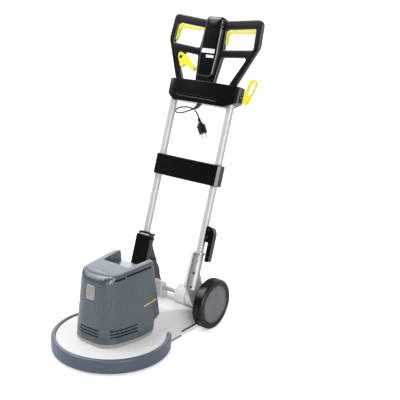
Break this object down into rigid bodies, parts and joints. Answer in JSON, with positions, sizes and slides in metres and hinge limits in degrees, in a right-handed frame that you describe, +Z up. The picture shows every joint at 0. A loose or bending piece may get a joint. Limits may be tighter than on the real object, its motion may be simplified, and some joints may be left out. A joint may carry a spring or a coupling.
{
  "type": "high speed floor burnisher",
  "caption": "Walk-behind floor burnisher: motor over a round pad deck, wheels behind, tilting two-tube handle with grips, levers and a hanging mains lead.",
  "frame": {"origin": "on the floor, at the centre of the pad's working face", "axes": "+Z up along the pad's axis, -Y to the front of the deck, +Y to the wheels and the handle, +X to the right seen from the front"},
  "size_m": [0.44, 0.8498, 1.1773],
  "materials": {
    "slate_abs": "slate grey moulded plastic, fine grain",
    "white_paint": "off-white powder coat",
    "grey_rubber": "blue-grey moulded rubber",
    "black_plastic": "black moulded plastic, satin",
    "yellow_plastic": "yellow moulded plastic",
    "silver_paint": "light grey lacquered steel tube",
    "tyre_rubber": "black rubber with fine ribs",
    "hub_grey": "mid grey moulded plastic",
    "plinth_grey": "light warm grey plastic",
    "steel": "turned or pressed steel",
    "cast_aluminium": "die-cast aluminium",
    "pad_fibre": "non-woven fibre pad",
    "driver_plastic": "dark moulded plastic"
  },
  "bodies": {
    "base": {"axle_drum_left": "white_paint", "axle_drum_right": "white_paint", "axle_rod": "steel", "bumper_end_left": "black_plastic", "bumper_end_right": "black_plastic", "bumper_ring": "grey_rubber", "cover_plinth": "plinth_grey", "deck_housing": "white_paint", "lock_quadrant": "steel", "lower_bearing": "steel", "motor_cover": "slate_abs", "motor_end_bell": "cast_aluminium", "neck_base_plate": "black_plastic", "neck_housing": "white_paint", "run_capacitor": "cast_aluminium", "stator_housing": "cast_aluminium", "upper_bearing": "steel"},
    "disc": {"burnishing_pad": "pad_fibre", "pad_driver": "driver_plastic", "drive_hub": "cast_aluminium", "rotor_shaft": "steel", "rotor_core": "steel", "cooling_fan": "driver_plastic"},
    "wheel_left": {"tyre_left": "tyre_rubber", "rim_left": "hub_grey", "hub_cap_left": "hub_grey"},
    "switch_lever_left": {"switch_lever_left": "yellow_plastic"},
    "wheel_right": {"tyre_right": "tyre_rubber", "rim_right": "hub_grey", "hub_cap_right": "hub_grey"},
    "switch_lever_right": {"switch_lever_right": "yellow_plastic"},
    "tilt_lever": {"tilt_lever": "yellow_plastic"},
    "lock_plunger": {"lock_plunger": "steel"},
    "cable_hook": {"cable_hook": "yellow_plastic"},
    "safety_button": {"safety_button": "hub_grey"},
    "handle": {"pivot_hub_left": "white_paint", "pivot_hub_right": "white_paint", "handle_bracket_left": "white_paint", "handle_bracket_right": "white_paint", "sleeve_left": "silver_paint", "sleeve_right": "silver_paint", "handle_tube_left": "silver_paint", "handle_tube_right": "silver_paint", "lock_housing": "black_plastic", "lock_housing_cap": "black_plastic", "mid_brace": "black_plastic", "crosshead_front": "black_plastic", "crosshead_rear": "black_plastic", "handle_frame_front": "black_plastic", "handle_frame_rear": "black_plastic", "column_front_cover": "black_plastic", "column_rear_cover": "black_plastic", "switch_unit": "driver_plastic", "low_cable_hook": "black_plastic", "hook_stud": "black_plastic", "tilt_lever_pin": "steel", "cord_gland": "black_plastic", "mains_cord": "black_plastic", "mains_plug": "black_plastic"}
  },
  "joints": [
    {"name": "pad_spin", "type": "hinge", "parent": "base", "child": "disc", "pos_m": [0, 0, 0], "axis": [0, 0, 1], "continuous": true},
    {"name": "wheel_left_spin", "type": "hinge", "parent": "base", "child": "wheel_left", "pos_m": [-0.1795, 0.376, 0.1], "axis": [1, 0, 0], "continuous": true},
    {"name": "wheel_right_spin", "type": "hinge", "parent": "base", "child": "wheel_right", "pos_m": [0.1795, 0.376, 0.1], "axis": [1, 0, 0], "continuous": true},
    {"name": "handle_tilt", "type": "hinge", "parent": "base", "child": "handle", "pos_m": [0, 0.376, 0.1], "axis": [-1, 0, 0], "range_deg": [-16.7, 35]},
    {"name": "switch_lever_left_press", "type": "hinge", "parent": "handle", "child": "switch_lever_left", "pos_m": [0, 0.57689, 1.07916], "axis": [-1, 0, 0], "range_deg": [0, 8], "stiffness_Nm_per_rad": 1.5, "springref_deg": -8.59},
    {"name": "switch_lever_right_press", "type": "hinge", "parent": "handle", "child": "switch_lever_right", "pos_m": [0, 0.57689, 1.07916], "axis": [-1, 0, 0], "range_deg": [0, 8], "stiffness_Nm_per_rad": 1.5, "springref_deg": -8.59},
    {"name": "tilt_lever_pull", "type": "hinge", "parent": "handle", "child": "tilt_lever", "pos_m": [-0.141, 0.55714, 1.01357], "axis": [0, -0.9575, 0.2884], "range_deg": [0, 15]},
    {"name": "lock_plunger_slide", "type": "slide", "parent": "handle", "child": "lock_plunger", "axis": [0, 0.2884, 0.9575], "range_m": [0, 0.006], "stiffness_N_per_m": 900, "springref_m": -0.003},
    {"name": "cable_hook_turn", "type": "hinge", "parent": "handle", "child": "cable_hook", "pos_m": [0.168, 0.52865, 0.8843], "axis": [1, 0, 0], "range_deg": [0, 180]},
    {"name": "safety_button_press", "type": "slide", "parent": "handle", "child": "safety_button", "axis": [-1, 0, 0], "range_m": [0, 0.003], "stiffness_N_per_m": 400, "springref_m": -0.003}
  ],
  "couplings": [
    {"joint": "tilt_lever_pull", "follows": "lock_plunger_slide", "rad_per_m": 43.63}
  ]
}
